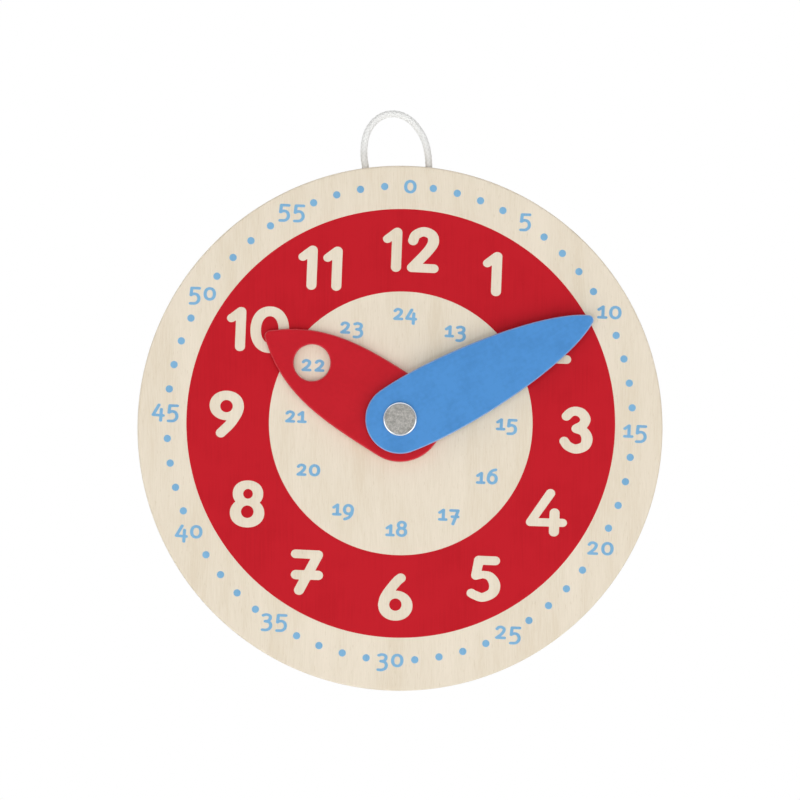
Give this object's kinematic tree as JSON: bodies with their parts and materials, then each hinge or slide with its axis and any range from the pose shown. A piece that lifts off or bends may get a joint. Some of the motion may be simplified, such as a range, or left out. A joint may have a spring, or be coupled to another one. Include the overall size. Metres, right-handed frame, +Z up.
{
  "type": "teaching clock",
  "caption": "Round wooden teaching clock with a printed dial, a windowed hour hand and a minute hand turned by hand on a central rivet, and a cord loop to hang it by.",
  "frame": {"origin": "the nail's place on the wall: level with the inside top of the cord loop, on the board's centre line, in the plane of the board's flat back", "axes": "+Z up towards the loop, +Y out of the flat back into the wall, so the dial faces -Y, and +X to the right of someone who reads the dial"},
  "size_m": [0.21, 0.0151, 0.2323],
  "materials": {
    "birch_plywood": "matte",
    "red_paint": "satin",
    "blue_paint": "satin",
    "rivet_steel": "satin",
    "nylon": "satin",
    "braided_cord": "matte"
  },
  "bodies": {
    "clock_body": {"dial_board": "birch_plywood", "rivet_post": "rivet_steel", "rivet_pin": "rivet_steel", "board_washer": "nylon", "hand_washer": "nylon", "back_washer": "nylon", "hanging_cord": "braided_cord"},
    "hour_hand": {"hour_hand": "red_paint"},
    "minute_hand": {"minute_hand": "blue_paint"}
  },
  "joints": [
    {"name": "hour_hand_turn", "type": "hinge", "parent": "clock_body", "child": "hour_hand", "pos_m": [0, -0.00815, -0.1203], "axis": [0, 1, 0], "continuous": true},
    {"name": "minute_hand_turn", "type": "hinge", "parent": "clock_body", "child": "minute_hand", "pos_m": [0, -0.01195, -0.1203], "axis": [0, 1, 0], "continuous": true}
  ]
}
